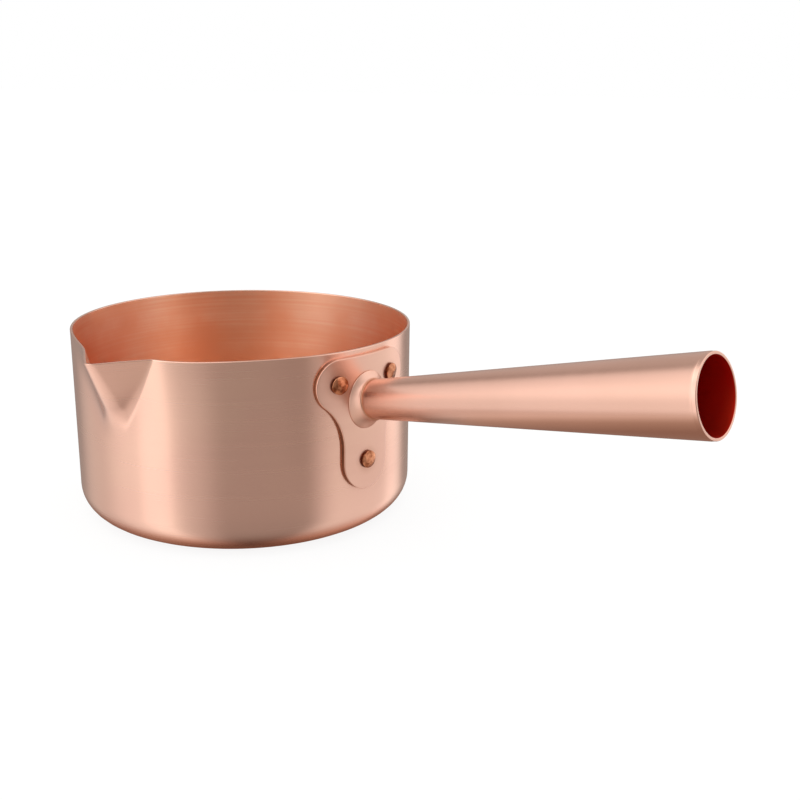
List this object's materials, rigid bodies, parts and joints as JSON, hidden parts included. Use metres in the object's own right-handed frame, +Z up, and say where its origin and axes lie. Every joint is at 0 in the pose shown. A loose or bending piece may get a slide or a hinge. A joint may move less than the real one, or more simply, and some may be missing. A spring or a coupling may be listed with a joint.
{
  "type": "saucepan",
  "caption": "Spun copper sugar saucepan with a V-shaped pouring lip and a hollow conical copper handle, brazed to a sheet plate riveted to the wall.",
  "frame": {"origin": "centre of the flat base, on the surface that the pan stands on", "axes": "+Z up, +X along the handle seen from above, +Y to complete; the pouring lip points close to -Y"},
  "size_m": [0.3245, 0.1777, 0.1135],
  "materials": {
    "pan_copper": "satin, brushed round the pan, bare copper",
    "plate_copper": "satin bare copper",
    "handle_copper": "satin, brushed, bare copper outside, red oxide inside",
    "braze": "matt, darkened by the torch",
    "rivet_copper": "hammered and slightly tarnished copper"
  },
  "bodies": {
    "root": {"pan_body": "pan_copper", "handle_plate": "plate_copper", "socket_collar": "plate_copper", "handle_tube": "handle_copper", "braze_ring": "braze", "rivet_upper_left": "rivet_copper", "rivet_upper_right": "rivet_copper", "rivet_lower": "rivet_copper"}
  },
  "joints": []
}
